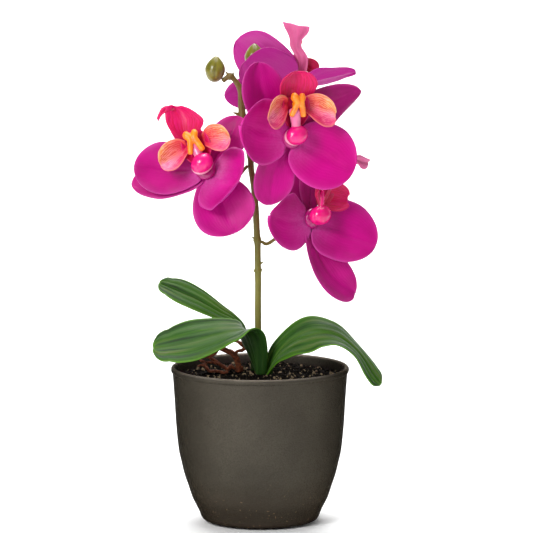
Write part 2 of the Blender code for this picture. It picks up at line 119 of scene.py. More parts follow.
class Build:
    """Points, faces and per-point values of one piece, gathered in millimetres."""

    def __init__(self):
        self.points, self.faces, self.values, self.uvs = [], [], {}, []

    def add(self, points, faces, uvs=None, **values):
        start = len(self.points)
        self.points += [tuple(p) for p in points]
        self.faces += [tuple(start + i for i in face) for face in faces]
        self.uvs += [(0.0, 0.0)] * len(points) if uvs is None else [tuple(uv) for uv in uvs]
        for key in sorted(set(values) | set(self.values)):
            column = self.values.setdefault(key, [0.0] * start)
            given = values.get(key, 0.0)
            column += [float(given)] * len(points) if np.isscalar(given) else [float(v) for v in given]
        return self

    def mesh(self, name, smooth=True):
        mesh = bpy.data.meshes.new(name)
        mesh.from_pydata([(x * MM, y * MM, z * MM) for x, y, z in self.points], [], self.faces)
        mesh.polygons.foreach_set("use_smooth", [smooth] * len(mesh.polygons))
        layer = mesh.uv_layers.new(name="along")
        loops = np.zeros(len(mesh.loops), int)
        mesh.loops.foreach_get("vertex_index", loops)
        layer.data.foreach_set("uv", np.array(self.uvs, float)[loops].ravel())
        for key, column in self.values.items():
            attribute = mesh.attributes.new(key, "FLOAT", "POINT")
            attribute.data.foreach_set("value", column)
        mesh.update()
        return mesh

    def piece(self, node, look, slot, smooth=True):
        mesh = self.mesh(node + "_fine", smooth)
        shaped = bmesh.new()
        shaped.from_mesh(mesh)
        bmesh.ops.recalc_face_normals(shaped, faces=shaped.faces)
        shaped.to_mesh(mesh)
        shaped.free()
        hand_over(node, mesh, look)


def sheet(grid, thickness, rim):
    """Close a sheet of points into a thin body; returns points, faces, uvs and marks."""
    rows, cols = grid.shape[:2]
    normals = np.cross(np.gradient(grid, axis=1), np.gradient(grid, axis=0))
    normals /= np.maximum(np.linalg.norm(normals, axis=2, keepdims=True), 1e-9)
    v = np.linspace(-1, 1, cols)
    u = np.linspace(0, 1, rows)
    half = (rim + (thickness - rim) * np.outer(1 - u ** 10, 1 - np.abs(v) ** 4))[..., None] / 2
    points = np.concatenate([(grid + normals * half).reshape(-1, 3),
                             (grid - normals * half).reshape(-1, 3)])
    size = rows * cols
    index = np.arange(size).reshape(rows, cols)
    faces = []
    for i in range(rows - 1):
        for j in range(cols - 1):
            quad = (index[i, j], index[i + 1, j], index[i + 1, j + 1], index[i, j + 1])
            faces.append(quad)
            faces.append(tuple(size + k for k in reversed(quad)))
    ring = ([index[i, 0] for i in range(rows)] + [index[-1, j] for j in range(1, cols)]
            + [index[i, -1] for i in range(rows - 2, -1, -1)]
            + [index[0, j] for j in range(cols - 2, 0, -1)])
    for a, b in zip(ring, ring[1:] + ring[:1]):
        faces.append((a, a + size, b + size, b))
    uvs = [((b + 1) / 2, a) for a in u for b in v] * 2
    marks = dict(edge=[max(abs(b) ** 10, a ** 24) for a in u for b in v] * 2,
                 back=[0.0] * size + [1.0] * size)
    return points, faces, uvs, marks


def tube(stations, steps, sides, seed=0, rough=0.0):
    """Round rod through (x, y, z, radius) stations with rounded ends."""
    path = smooth_path(stations, steps)
    first, last = path[0].copy(), path[-1].copy()
    for end, row, inner in ((0, first, path[1]), (len(path), last, path[-2])):
        out = unit(row[:3] - inner[:3])
        caps = []
        for angle in (25, 50, 72, 86):
            a = math.radians(angle)
            caps.append(np.append(row[:3] + out * row[3] * 0.6 * math.sin(a), row[3] * math.cos(a)))
        path = np.vstack([caps[::-1], path]) if end == 0 else np.vstack([path, caps])
    centres, radii = path[:, :3], path[:, 3]
    tangents = np.gradient(centres, axis=0)
    side = unit(np.cross(tangents[0], vec(0.31, 0.93, 0.11)))
    points, uvs, rows = [], [], len(centres)
    for i, (centre, radius, tangent) in enumerate(zip(centres, radii, tangents)):
        tangent = unit(tangent)
        side = unit(side - tangent * np.dot(side, tangent))
        other = np.cross(tangent, side)
        for j in range(sides):
            a = 2 * math.pi * j / sides
            out = side * math.cos(a) + other * math.sin(a)
            swell = 1 + rough * wobble(*(centre * 0.35 + out * 0.9), seed)
            points.append(centre + radius * swell * out)
            uvs.append((j / sides, i / (rows - 1)))
    faces = []
    for i in range(rows - 1):
        for j in range(sides):
            a, b = i * sides + j, i * sides + (j + 1) % sides
            faces.append((a, b, b + sides, a + sides))
    faces += [tuple(reversed(range(sides))), tuple(range((rows - 1) * sides, rows * sides))]
    return points, faces, uvs


def lathe(profile, sides):
    """Turn a (radius, height) profile about Z; radius 0 ends become poles."""
    points, rows, uvs = [], [], []
    for i, (radius, height) in enumerate(profile):
        count = 1 if radius < 1e-6 else sides
        rows.append([len(points) + j % count for j in range(sides)])
        for j in range(count):
            a = 2 * math.pi * j / sides
            points.append((radius * math.cos(a), radius * math.sin(a), height))
            uvs.append((j / sides, i / (len(profile) - 1)))
    faces = []
    for low, high in zip(rows, rows[1:]):
        for j in range(sides):
            k = (j + 1) % sides
            face = tuple(dict.fromkeys((low[j], low[k], high[k], high[j])))
            if len(face) >= 3:
                faces.append(face)
    return points, faces, uvs


# ---- materials ----
class Look:
    """A Principled material whose nodes are added one call at a time."""

    def __init__(self, name, **sockets):
        self.material = bpy.data.materials.new(name)
        self.material.use_nodes = True
        self.tree = self.material.node_tree
        self.shader = self.tree.nodes["Principled BSDF"]
        self.colour = None
        for key, value in sockets.items():
            self.shader.inputs[key.replace("_", " ").title().replace("Ior", "IOR")].default_value = value

    def node(self, kind, _out=0, _set=None, **inputs):
        node = self.tree.nodes.new("ShaderNode" + kind)
        for key, value in (_set or {}).items():
            setattr(node, key, value)
        for key, value in inputs.items():
            socket = node.inputs[int(key[1:])] if key[0] == "i" and key[1:].isdigit() else node.inputs[key]
            if hasattr(value, "links"):
                self.tree.links.new(value, socket)
            else:
                socket.default_value = value
        return node.outputs[_out]

    def value(self, name):
        return self.node("Attribute", 2, dict(attribute_name=name, attribute_type="GEOMETRY"))

    def along(self):
        """The sheet's own map: x across it and y from its foot to its tip."""
        return self.node("UVMap", 0, dict(uv_map="along"))

    def height(self):
        """Metres above the floor."""
        return self.node("SeparateXYZ", 2, Vector=self.node("TexCoord", 3))

    def math(self, operation, a, b=0.0, clamp=False):
        return self.node("Math", 0, dict(operation=operation, use_clamp=clamp), i0=a, i1=b)

    def ramp(self, fac, *stops):
        """Stops are (position, colour): an sRGB 0-255 triple or one linear grey value."""
        node = self.tree.nodes.new("ShaderNodeValToRGB")
        elements = node.color_ramp.elements
        while len(elements) < len(stops):
            elements.new(0.5)
        for element, (place, colour) in zip(elements, stops):
            element.position = place
            element.color = rgb(colour)
        self.tree.links.new(fac, node.inputs[0])
        return node.outputs[0]

    def mix(self, fac, a, b, blend="MIX"):
        a, b = (rgb(colour) if isinstance(colour, tuple) else colour for colour in (a, b))
        return self.node("Mix", 2, dict(data_type="RGBA", blend_type=blend), i0=fac, i6=a, i7=b)

    def tint(self, mask, share, other):
        """Mix another colour into the look's own where the mask is set, up to the given share."""
        self.colour = self.mix(self.math("MULTIPLY", mask, share), self.colour, other)

    def noise(self, scale, detail=3.0, rough=0.55, where=None, stretch=None):
        where = where or self.node("TexCoord", 3)
        if stretch:
            where = self.node("Mapping", 0, Vector=where, Scale=stretch)
        return self.node("TexNoise", 0, Vector=where, Scale=scale, Detail=detail, Roughness=rough)

    def bands(self, where, warp, warp_scale, warp_detail, scale, distortion, detail):
        """Warped bands that run along a sheet, as veins do."""
        bent = self.mix(warp, where, self.noise(warp_scale, warp_detail, where=where), "LINEAR_LIGHT")
        return self.node("TexWave", 1, dict(wave_type="BANDS", bands_direction="X"), Vector=bent,
                         Scale=scale, Distortion=distortion, Detail=detail)

    def done(self, *reliefs, roughness=None):
        """Connect the colour and the (height, strength, distance) reliefs, first the lowest."""
        normal = {}
        for height, strength, distance in reliefs:
            normal["Normal"] = self.node("Bump", Height=height, Strength=strength,
                                         Distance=distance, **normal)
        for name, socket in (("Base Color", self.colour), ("Roughness", roughness), *normal.items()):
            if socket is not None:
                self.tree.links.new(socket, self.shader.inputs[name])
        return self.material


def rgb(colour):
    """sRGB 0-255 to the linear value a shader takes; one number is a linear grey."""
    if np.isscalar(colour):
        return (colour, colour, colour, 1.0)
    return (*((c / 255 / 12.92 if c <= 10 else ((c / 255 + 0.055) / 1.055) ** 2.4) for c in colour), 1.0)


def translucent(weight, radius):
    """Sockets of a thin fleshy piece that lets a little light through."""
    return dict(subsurface_weight=weight, subsurface_radius=radius, subsurface_scale=0.002)


def tepal_look(name, bright, deep, pale, back):
    """Magenta tepal: lengthwise veins, a pale cut rim, a whitish throat and a duller back."""
    m = Look(name, roughness=0.42, sheen_weight=0.06, sheen_roughness=0.45,
             sheen_tint=rgb((255, 190, 235)), specular_ior_level=0.15,
             **translucent(0.08, (0.6, 0.1, 0.4)))
    uv = m.along()
    veins = m.bands(uv, 0.10, 2.2, 2, 6.2, 1.6, 2)
    fine = m.noise(1, 4, 0.6, where=uv, stretch=(95, 3.2, 1))
    m.colour = m.mix(m.ramp(m.noise(46, 3), (0.34, 0), (0.68, 1)), deep, bright)
    m.tint(m.ramp(veins, (0, 1), (0.22, 0)), 0.10, deep)
    m.tint(m.ramp(fine, (0.56, 0), (0.84, 1)), 0.13, pale)
    frost = m.ramp(m.noise(760, 3, 0.7), (0.38, 0.45), (0.66, 1))
    m.tint(m.math("MULTIPLY", m.value("throat"), frost), 0.28, (206, 140, 214))
    m.tint(m.value("edge"), 0.32, pale)
    behind = m.mix(m.ramp(fine, (0.45, 0), (0.85, 0.25)), back, pale)
    m.tint(m.value("back"), 1, behind)
    return m.done((m.noise(2600, 2, 0.7), 0.08, 0.0003), (fine, 0.16, 0.0005), (veins, 0.06, 0.0006))


def hood_look(name, bright, deep, pale, behind):
    """Hood, ribbon or plain lobe of a lip: streaked, darkest at its foot, with branching veins."""
    m = Look(name, roughness=0.42, sheen_weight=0.04, specular_ior_level=0.25,
             **translucent(0.08, (0.6, 0.15, 0.2)))
    uv, reach = m.along(), m.value("reach")
    veins = m.bands(uv, 0.16, 3, 3, 3.6, 2.6, 3)
    streak = m.noise(1, 4, 0.6, where=uv, stretch=(42, 3, 1))
    m.colour = m.mix(m.ramp(streak, (0.40, 0), (0.72, 1)), bright, pale)
    m.tint(m.ramp(reach, (0.45, 0), (1, 0.45)), 1, pale)
    m.tint(m.ramp(reach, (0.06, 0.85), (0.34, 0)), 1, deep)
    thick = m.ramp(m.noise(2.4, 2, where=uv), (0.44, 0.04), (0.62, 0.36))
    m.tint(m.ramp(veins, (0.02, 1), (0.26, 0)), thick, deep)
    m.tint(m.value("edge"), 0.30, pale)
    m.tint(m.value("back"), 0.75, behind)
    return m.done((m.noise(1500, 2), 0.10, 0.0004), (veins, 0.14, 0.0006))


def lobe_look():
    """Streaked side lobe of the lip: pink below, orange along its top, crimson at its foot."""
    m = Look("lip_lobe_streaked", roughness=0.45, sheen_weight=0.04, specular_ior_level=0.25,
             **translucent(0.10, (0.6, 0.25, 0.2)))
    reach = m.value("reach")
    mottle = m.math("MULTIPLY", m.math("SUBTRACT", m.noise(210, 3), 0.5), 0.9)
    height = m.math("ADD", m.value("lift"), mottle)
    m.colour = m.ramp(height, (0.08, (206, 44, 112)), (0.38, (228, 116, 150)), (0.58, (222, 124, 118)),
                      (0.78, (204, 90, 50)), (0.97, (226, 148, 78)))
    streak = m.bands(m.along(), 0.12, 4, 3, 4.6, 2.2, 3)
    m.tint(m.ramp(streak, (0.62, 0), (0.92, 0.5)), height, (240, 184, 176))
    mark = m.math("MULTIPLY", m.ramp(streak, (0.05, 1), (0.30, 0)),
                  m.ramp(reach, (0.10, 1), (0.80, 0.15)))
    m.tint(mark, 0.80, (176, 14, 52))
    m.tint(m.ramp(reach, (0.14, 1), (0.58, 0)), 0.85, (206, 12, 62))
    m.tint(m.value("edge"), 0.35, (232, 176, 140))
    m.tint(m.value("back"), 0.75, (186, 28, 72))
    return m.done((m.noise(1500, 2), 0.10, 0.0004), (streak, 0.25, 0.0005))


def callus_look():
    """Moulded orange wax with soft mottling."""
    m = Look("callus_orange", roughness=0.38, coat_weight=0.1, coat_roughness=0.12,
             **translucent(0.12, (0.6, 0.2, 0.2)))
    m.colour = m.ramp(m.noise(260, 4), (0.35, (226, 104, 6)), (0.60, (236, 134, 14)),
                      (0.80, (244, 158, 40)))
    return m.done((m.noise(1300, 3), 0.15, 0.0005))


# values of the reach attribute that tell a column's parts apart
CAP, BASE, NECK, COLLAR = 0, 0.35, 0.8, 1


def column_look():
    """Glossy pink cap in a pale collar on a pale neck, with a deep magenta base."""
    m = Look("column_pink", roughness=0.24, coat_weight=0.35, coat_roughness=0.10,
             specular_ior_level=0.35, **translucent(0.10, (0.6, 0.2, 0.3)))
    m.colour = m.ramp(m.noise(90, 4), (0.35, (206, 8, 104)), (0.62, (222, 22, 122)),
                      (0.85, (232, 60, 146)))
    part = m.value("reach")
    for low, high, other in ((0.20, 0.34, (150, 10, 96)), (0.40, 0.78, (214, 108, 150)),
                             (0.84, 0.98, (228, 150, 176))):
        m.tint(m.ramp(part, (low, 0), (high, 1)), 1, other)
    return m.done((m.noise(450, 3), 0.05, 0.0005))


def leaf_look():
    """Strap leaf: lengthwise streaks whose lightest parts are a painted grey sheen, a bright rim, a paler
    midrib painted as a highlight, and an underside painted darker as shade.
    """
    m = Look("leaf_veined", roughness=0.42, sheen_weight=0.02, sheen_roughness=0.35,
             sheen_tint=rgb((214, 206, 220)), specular_ior_level=0.20)
    uv = m.along()
    broad = m.noise(1, 3, 0.55, where=uv, stretch=(8, 1.6, 1))
    fine = m.noise(1, 3, 0.6, where=uv, stretch=(64, 2, 1))
    # painted sheen: the grey-brown top stops of the streak ramp stand for light glancing off the leaf
    m.colour = m.ramp(broad, (0.34, (16, 38, 4)), (0.44, (34, 76, 8)), (0.54, (52, 92, 10)),
                      (0.65, (82, 100, 44)), (0.76, (112, 110, 88)))
    m.tint(m.ramp(fine, (0.42, 1), (0.58, 0)), 0.40, (20, 46, 8))
    # painted highlight: the midrib is lightened where light catches the keel
    m.tint(m.value("rib"), 0.28, (84, 120, 46))
    m.tint(m.value("edge"), 0.75, (92, 142, 30))
    # painted shade: the underside is darker where it turns away from the light
    under = m.ramp(fine, (0.36, (16, 38, 12)), (0.64, (30, 60, 20)))
    m.tint(m.value("back"), 0.8, under)
    return m.done((m.noise(1900, 2), 0.08, 0.0003), (fine, 0.40, 0.0006), (broad, 0.30, 0.0012))


def stem_look(name, low, high, turn, spread):
    """Speckled, ribbed stem that changes colour from turn - spread to turn + spread, in metres."""
    m = Look(name, roughness=0.5, specular_ior_level=0.4)
    rise = m.math("DIVIDE", m.math("SUBTRACT", m.height(), turn - spread), 2 * spread, True)
    speck = m.ramp(m.noise(900, 3, 0.7), (0.52, 0), (0.70, 1))
    m.colour = m.mix(rise, low, high)
    m.tint(speck, 0.5, (88, 58, 24))
    m.tint(m.noise(160, 2), 0.45, (132, 122, 44))
    ribs = m.noise(1, 2, 0.5, stretch=(1500, 1500, 60))
    return m.done((ribs, 0.35, 0.0006))


def bud_look():
    """Glossy olive bud that blushes brown-red low down on its right."""
    m = Look("bud_olive", roughness=0.30, coat_weight=0.15, coat_roughness=0.10,
             **translucent(0.08, (0.4, 0.4, 0.1)))
    m.colour = m.ramp(m.noise(120, 3), (0.30, (80, 80, 14)), (0.55, (108, 102, 20)),
                      (0.80, (126, 118, 34)))
    m.tint(m.value("blush"), 0.8, (112, 44, 18))
    m.tint(m.value("seam"), 0.55, (74, 62, 18))
    return m.done((m.noise(700, 3), 0.12, 0.0004))


def root_look():
    """Dull brown bark with a coarse grain."""
    m = Look("root_bark", roughness=0.75)
    grain = m.noise(700, 4, 0.65)
    m.colour = m.ramp(grain, (0.28, (64, 26, 14)), (0.50, (128, 62, 32)), (0.66, (166, 92, 50)),
                      (0.85, (206, 150, 96)))
    return m.done((grain, 0.7, 0.0012))


def compost_look():
    """Near-black crumbs; the tone attribute picks out a few pale ones."""
    m = Look("compost_crumb", roughness=0.95, specular_ior_level=0.05)
    grain = m.noise(650, 4, 0.7)
    m.colour = m.ramp(grain, (0.30, (5, 4, 3)), (0.52, (18, 14, 11)), (0.66, (38, 30, 22)),
                      (0.80, (88, 72, 54)))
    tone = m.value("tone")
    m.tint(m.ramp(tone, (0.80, 0), (0.86, 1)), 0.75, (150, 132, 106))
    m.tint(m.ramp(tone, (0.25, 1), (0.45, 0)), 0.75, (14, 12, 10))
    return m.done((grain, 0.8, 0.0015))


def pot_look():
    """Satin anthracite pot: fine grain, a painted highlight along the rim, brown dust and a few pale
    specks low down.

    Its metallic setting with a dark edge tint keeps the sides dark where they turn away.
    """
    m = Look("pot_anthracite", roughness=0.42, metallic=0.8, specular_ior_level=0,
             specular_tint=rgb((28, 28, 28)))
    grain = m.noise(1300, 2, 0.5)
    m.colour = m.ramp(m.noise(30, 3), (0.30, (66, 62, 55)), (0.70, (74, 70, 62)))
    m.tint(m.ramp(grain, (0.35, 1), (0.60, 0)), 0.35, (42, 39, 34))
    height, top = m.height(), box_mm("pot")[1][2] * MM
    # painted highlight: the top of the rim is lightened as if lit
    above = m.math("SUBTRACT", height, top - POT_RIM_HIGHLIGHT_DEPTH * MM)
    m.tint(m.math("DIVIDE", above, POT_RIM_HIGHLIGHT_FADE * MM, True), 0.55, (126, 118, 108))
    low = m.math("SUBTRACT", 1, m.math("DIVIDE", height, POT_DUST_HEIGHT * MM, True))
    m.tint(low, 0.35, (70, 56, 44))
    specks = m.ramp(m.noise(700, 1, 0.2), (0.745, 0), (0.775, 1))
    m.tint(m.math("MULTIPLY", specks, low), 0.8, (150, 122, 96))
    rough = m.ramp(grain, (0.30, 0.30), (0.70, 0.43))
    return m.done((m.noise(2600, 2, 0.5), 0.25, 0.0006), (grain, 0.55, 0.0007), roughness=rough)


def floor_look():
    m = Look("studio_floor", roughness=0.9, specular_ior_level=0.1)
    m.colour = m.ramp(m.noise(3, 2), (0.2, (250, 250, 250)), (0.8, (254, 254, 254)))
    return m.done()


# ---- petals, sepals and lip lobes ----
def outline(u, belly, base, blunt):
    """Half-width of a tepal as a share of its greatest, from its foot (0) to its tip (1)."""
    if u <= belly:
        return base + (1 - base) * math.sin(u / belly * math.pi / 2) ** 1.15
    return max(0.0006, 1 - ((u - belly) / (1 - belly)) ** blunt) ** 0.5


def blade(foot, tip, facing, width, seed, belly=0.58, base=0.17, blunt=2, cup=20, twist=0,
          bow=0, sway=0, ruffle=1.2, groove=0.8, roll=0.8, rows=36, cols=25):
    """A cupped blade from foot to tip with a sunken midline, a waved rim and soft dents."""
    along = tip - foot
    face = unit(facing - unit(along) * np.dot(facing, unit(along)))
    side = np.cross(unit(along), face)
    grid = np.zeros((rows, cols, 3))
    for i in range(rows):
        q = i / (rows - 1)
        u = 0.25 * q + 0.75 * math.sin(q * math.pi / 2)
        arch, slope = 4 * u * (1 - u), 4 - 8 * u
        centre = foot + along * u + (face * bow + side * sway) * arch
        tangent = unit(along + (face * bow + side * sway) * slope)
        up = unit(face - tangent * np.dot(face, tangent))
        across, up = turned(np.cross(tangent, up), up, twist)
        shoulder = 1 - math.sqrt(1 - max(0, 1 - u / 0.25) ** 2)
        half = width / 2 * outline(u, belly, base, blunt) * (1 - 0.55 * base * shoulder)
        bend = math.radians(cup) * min(1, 0.35 + 1.2 * u)
        for j in range(cols):
            v = -1 + 2 * j / (cols - 1)
            ripple = ruffle * (abs(v) ** 3 * wobble(u * 3.1, v * 1.2, 0, seed) * 1.6
                               + 0.7 * wobble(u * 2, v * 1.6, 3, seed)) * min(1, u * 2.5)
            dip = groove * math.exp(-(v / 0.10) ** 2) * math.sin(math.pi * min(1, u * 1.15)) ** 0.7
            curl = roll * abs(v) ** 6 * min(1, u * 2)
            grid[i, j] = (centre + across * half * math.sin(bend * v) / bend
                          + up * (half * (1 - math.cos(bend * v)) / bend + ripple - dip - curl))
    return grid


def skin(flower, rows, cup, seed, lines=32, cols=25, wave=0.5, folds=0):
    """A sheet through (left, up, right, up, forward) rows, its sides bent forward by cup."""
    path = smooth_path(rows, max(2, lines // (len(rows) - 1)))
    grid = np.zeros((len(path), cols, 3))
    for i, (left, left_up, right, right_up, forward) in enumerate(path):
        u = i / (len(path) - 1)
        full = min(1, math.hypot(right - left, right_up - left_up) / 14)
        for j in range(cols):
            t = j / (cols - 1)
            v = 2 * t - 1
            dent = (wave * wobble(u * 2.6, v * 1.4, 0, seed)
                    + 0.5 * wave * wobble(u * 7, v * 3, 2, seed) * abs(v)
                    + folds * math.cos(v * 5.2 + 1.6 * u + seed))
            grid[i, j] = flower.at(left + (right - left) * t, left_up + (right_up - left_up) * t,
                                   forward + full * (cup * (v * v - 0.5) + dent))
    return grid


class Flower:
    """A flower in the frame: its place is read from the box of its column in the CAD."""

    def __init__(self, name, yaw, pitch, roll):
        self.name = name
        yaw, pitch, roll = (math.radians(a) for a in (yaw, pitch, roll))
        self.facing = vec(math.sin(yaw) * math.cos(pitch), -math.cos(yaw) * math.cos(pitch),
                          math.sin(pitch))
        level = vec(math.cos(yaw), math.sin(yaw), 0)
        rise = np.cross(self.facing, level)
        self.up = rise * math.cos(roll) + level * math.sin(roll)
        self.right = level * math.cos(roll) - rise * math.sin(roll)
        self.centre = middle(name + "_column") - self.up * 2.2 - self.facing * 9.4

    def at(self, right, up, forward):
        return self.centre + self.right * right + self.up * up + self.facing * forward

    def tepal(self, reach, width, layer, seed, **shape):
        reach = vec(*reach)
        flat = unit(reach - self.facing * np.dot(reach, self.facing))
        return blade(self.centre + flat * 2.6 + self.facing * layer,
                     self.centre + reach + self.facing * layer, self.facing, width, seed, **shape)


# how far forward of its flower's centre a tepal sits
REAR, BACK, FRONT = -1.4, 0, 1.7

# thickness of each kind of sheet, inside and at its rim
TEPAL_SHEET, LIP_SHEET, LEAF_SHEET = (0.7, 0.4), (0.8, 0.4), (1.3, 0.7)

# lip outlines in flower coordinates, foot to tip: (left, up, right, up, forward)
HOOD = (
    (-4.6, 8, 4.6, 8.4, 4.5), (-8.4, 15.6, 9, 16, 6), (-9.8, 23.9, 11, 23.8, 7.5),
    (-10.8, 29.5, 12.8, 29, 9.5), (-11.4, 33.7, 13.4, 32.5, 11.5), (-9.4, 37.5, 11.4, 36.6, 13),
    (-5.4, 40, 7.6, 39.4, 13.8), (-1.2, 41.1, 3.4, 40.8, 14))
HOOD_POINTED = (
    (-4.6, 6, 4.6, 5, 4), (-9.4, 14, 8.6, 11.5, 6), (-11, 23.5, 8.4, 18.6, 8), (-12, 29.4, 6, 22.8, 9),
    (-12.7, 34.6, 8.6, 24.8, 10.5), (-11.8, 38.8, 9.8, 27.4, 11.5), (-10.4, 42, 8, 31.4, 12.5),
    (-8.4, 43.6, 3.8, 37, 13), (-5.9, 44, -0.6, 41.2, 13))
TAIL_CURLED = (
    (-5, 40, -6.5, 44, 13), (-8.1, 40.6, -7.6, 44.3, 13.4), (-10.8, 40.2, -9.6, 44.6, 14.4),
    (-13.2, 39.2, -12.4, 43.7, 15), (-14.9, 38.3, -15, 41.6, 14.6), (-16.8, 37, -17.2, 39.4, 13.6))
THROAT = (
    (-2.5, 6.5, 2.5, 6.5, 6), (-6.5, 10.5, 6.5, 10.5, 7.2), (-9, 16, 9, 16, 8), (-8.8, 22, 8.8, 22, 8.6),
    (-7.4, 25.5, 7.4, 25.5, 9.2))
RIBBON_TALL = (
    (-7, 3, 2, 3, 3), (-8.5, 11, -1.2, 11, 5), (-8.5, 16.8, -1, 16.5, 6), (-6.3, 20.3, 1.3, 20.1, 7),
    (-3.9, 23.4, 3.5, 23.6, 8), (-4.3, 27.5, 3.8, 27.3, 8.5), (-7.7, 31.3, 4.8, 31, 8.5),
    (-9.2, 34, 6.6, 35, 8), (-9.5, 35.9, 7.6, 38.9, 7.6))
RIBBON_FAR = (
    (5, 12, 9, 8, 6.5), (7.6, 21.5, 14.4, 18.5, 9), (10.9, 31, 18.7, 26.5, 12),
    (14.4, 37, 19.5, 31.9, 15), (18.5, 39.7, 22.4, 35.7, 17), (22.4, 41.4, 25, 33.4, 18),
    (27.1, 40.4, 28.4, 32.9, 18.5), (32.6, 39.4, 31, 34.4, 18.5))
EAR = (
    (5.6, 17, 5.4, 24.6, 9), (7.8, 14, 9, 26.6, 10.6), (10.8, 10.2, 13.4, 27, 12.6),
    (15.4, 7, 18, 25.2, 14.4), (19.6, 6.8, 21.4, 21.8, 15.6), (22, 8.6, 23, 18.4, 16.2),
    (23.2, 11, 23.7, 15.4, 16.4))
EAR_INWARD = (
    (3, 9, 3, 20, 2.5), (6, 6.4, 6.4, 24, 6), (10, 5.6, 10.6, 24.6, 9), (14, 6, 14.6, 22.6, 12),
    (17, 7.8, 17.6, 20, 14), (18.6, 10, 18.9, 16.6, 15))

# open: its whole lip faces the viewer; slim: thin pink neck; small: shrunken side lobes
# drop: how far its lip sits lower; ears: width of the left and right side lobe, as shares
# stalk: (x, y, z, radius) from the spike, for a flower whose centre is at place
# tepals: tip seen from the centre (x, y, z), width, layer and shape
# tone: which tepals take the lit or the shaded copy of the magenta, painted light and shade
FLOWERS = {
    "front": dict(
        turn=(25, 5, 0), place=(18.2, -32, 239.5), open=True,
        stalk=((-7.4, -1.6, 244.6, 1), (2, -7, 237.6, 1.1), (12, -20, 237.6, 1.2)),
        hood=(HOOD,), tone=dict(petal_right="bright", petal_left="bright", sepal_right="dull"),
        tepals={
            "petal_right": ((38, 4, -20), 42, FRONT,
                            dict(base=0.72, belly=0.50, blunt=2.1, cup=20, bow=-2)),
            "petal_left": ((-30, -26, 11), 42, FRONT,
                           dict(base=0.62, belly=0.48, blunt=2.2, cup=32, bow=-3.5)),
            "sepal_left": ((-19, -3, 47), 31, BACK, dict(cup=28, sway=-5.5, base=0.5)),
            "sepal_right": ((43.4, 16, 27.6), 26, BACK,
                            dict(blunt=1.1, belly=0.42, cup=14, sway=-5, base=0.4)),
            "sepal_bottom": ((-11.4, -3, -39.7), 28, BACK, dict(blunt=2.4, cup=30, sway=4, base=0.3)),
        }),
    "left": dict(
        turn=(-15, 25, -24), place=(-32.2, -24, 218.6), open=True,
        stalk=((-7.9, -1.8, 219.6, 1), (-17, -6, 210.6, 1.1), (-27.5, -16, 212.1, 1.2)),
        hood=(HOOD_POINTED, TAIL_CURLED), drop=4.6, ears=(1, 0.94),
        tepals={
            "petal_left": ((-44, 6, 2.4), 34, FRONT, dict(base=0.5, cup=20, bow=-2)),
            "petal_right": ((19, -20, -5), 43, FRONT,
                            dict(base=1, belly=0.42, blunt=2.3, cup=18, bow=-5)),
            "sepal_right": ((21, 8, 32.5), 25, BACK, dict(blunt=1.7, cup=20)),
            "sepal_left": ((-46, 10, -7.6), 24, BACK, dict(base=0.7, blunt=1.5, cup=20, sway=-2)),
            "sepal_bottom": ((17.5, -10, -36), 39.5, BACK, dict(base=0.4, blunt=2.4, cup=24)),
        }),
    "lower": dict(
        turn=(48, 5, 10), place=(30, -8, 187.8), slim=True,
        stalk=((1.1, 0.2, 172.6, 1), (5, 0.4, 171.6, 1.1), (13.5, 1, 177.8, 1.1),
               (22, 1, 185.1, 1.2)),
        hood=(RIBBON_FAR,), ears=(0.5, 1), tone=dict(sepal_left="dull", sepal_right="dull"),
        tepals={
            "petal_right": ((40, 8, -17.5), 41, FRONT,
                            dict(base=0.85, belly=0.45, cup=24, bow=-2, sway=-1)),
            "petal_left": ((-25, -20, 5), 36, FRONT,
                           dict(base=0.55, belly=0.42, blunt=1.7, cup=22, bow=-1, sway=-3)),
            "sepal_bottom": ((28.5, 10, -47.5), 29, BACK,
                             dict(blunt=2.2, cup=34, sway=8.5, base=0.35, belly=0.62)),
            "sepal_left": ((-19, 0, 33), 26, REAR, dict(cup=20, base=0.4)),
            "sepal_right": ((3, 7, 34), 17, BACK, dict(cup=20, twist=30)),
        }),
    "top": dict(
        turn=(160, 5, 0), place=(19.8, 26, 266.5), small=True,
        stalk=((-9.6, 1, 263.2, 1), (-3, 6, 260.6, 1.1), (10, 15, 261.6, 1.2)),
        hood=(RIBBON_TALL,), tone=dict(sepal_left="dull", petal_left="dull", sepal_right="dull"),
        tepals={
            "petal_right": ((-35, 14, 27), 34, FRONT, dict(base=0.85, belly=0.5, blunt=2.3, cup=20)),
            "petal_left": ((38.6, -6, 9), 18, FRONT,
                           dict(blunt=1.1, belly=0.48, cup=20, sway=1, twist=-50)),
            "sepal_right": ((-28, -18, 17.5), 34, REAR, dict(base=0.85, belly=0.5, blunt=2.3, cup=20)),
            "sepal_left": ((-41.7, 4, -7), 22, BACK, dict(blunt=1.7, cup=20)),
            "sepal_bottom": ((4, 6, -36), 26, BACK, dict(cup=20)),
        }),
}


# the callus: two bars that touch half-way and part towards their feet, and the stub that holds
# them, as (right, up, forward, radius)
CALLUS_RODS = (
    ((-3, 27, 14.5, 1.8), (-2.8, 25.2, 15.2, 2.6), (-1.5, 22.2, 15.2, 2.1), (-2.9, 18, 14.2, 1.8),
     (-4.3, 14.6, 12.8, 1.6)),
    ((2.3, 26.6, 14.5, 1.7), (2.1, 25, 15, 2.2), (1.2, 22.2, 15.2, 2.1), (2.4, 18, 14.2, 1.9),
     (3.5, 14.2, 12.8, 1.8)),
    ((0, 21, 9, 2), (0, 22, 14.4, 2.2)))
CALLUS_VOXEL = 0.4
CALLUS_SMOOTHING = 3


